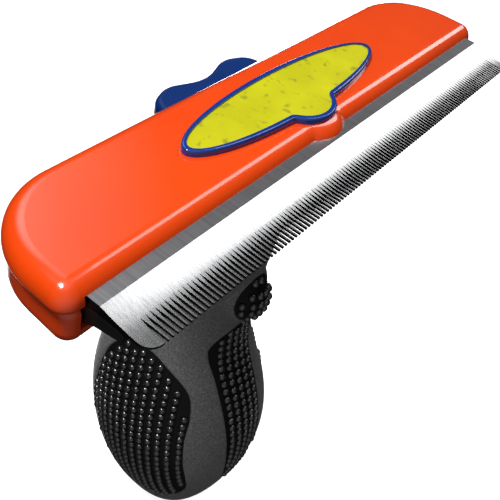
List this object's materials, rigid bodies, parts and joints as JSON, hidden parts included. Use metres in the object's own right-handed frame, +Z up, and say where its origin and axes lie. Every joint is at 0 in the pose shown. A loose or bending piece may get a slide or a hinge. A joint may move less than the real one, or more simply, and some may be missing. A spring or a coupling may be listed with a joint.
{
  "type": "deshedding tool",
  "caption": "Hand grooming tool: a wide slotted steel edge in a moulded head, with a thumb button that slides a hair ejector bar, on an egg-shaped padded handle.",
  "frame": {"origin": "under the lowest point of the handle's end, at the middle of the tool's width and depth", "axes": "+X along the steel edge, -Y towards the teeth, +Z up the handle to the labelled face of the head"},
  "size_m": [0.1356, 0.0565, 0.153],
  "materials": {
    "shell_orange": "high-gloss moulded",
    "bezel_blue": "high-gloss moulded",
    "label_yellow": "satin, printed area left plain",
    "edge_steel": "brushed strip, mirror-ground bevel",
    "screw_steel": "zinc plated",
    "spring_steel": "drawn wire",
    "bar_black": "fine matte",
    "slide_nylon": "fine matte",
    "button_blue": "gloss moulded",
    "handle_black": "fine grained soft-touch",
    "core_nylon": "glass-filled nylon",
    "grip_rubber": "glossy domes on matte ground"
  },
  "bodies": {
    "tool": {"upper_shell": "shell_orange", "lower_shell": "shell_orange", "label_bezel": "bezel_blue", "label_inlay": "label_yellow", "blade": "edge_steel", "blade_screws": "screw_steel", "head_screws": "screw_steel", "handle_bolts": "screw_steel", "return_spring_left": "spring_steel", "return_spring_right": "spring_steel", "spring_pin_left": "screw_steel", "spring_pin_right": "screw_steel", "handle_body": "handle_black", "handle_core": "core_nylon", "side_grip_left": "grip_rubber", "side_grip_right": "grip_rubber", "front_grip": "grip_rubber", "finger_rest_grip": "grip_rubber"},
    "ejector": {"ejector_bar": "bar_black", "ejector_slide": "slide_nylon", "ejector_button": "button_blue", "ejector_screws": "screw_steel", "button_pins": "screw_steel"}
  },
  "joints": [
    {"name": "ejector_press", "type": "slide", "parent": "tool", "child": "ejector", "axis": [0, -1, 0], "range_m": [0, 0.0065], "stiffness_N_per_m": 600, "springref_m": -0.004, "deforming": ["return_spring_left", "return_spring_right"]}
  ]
}
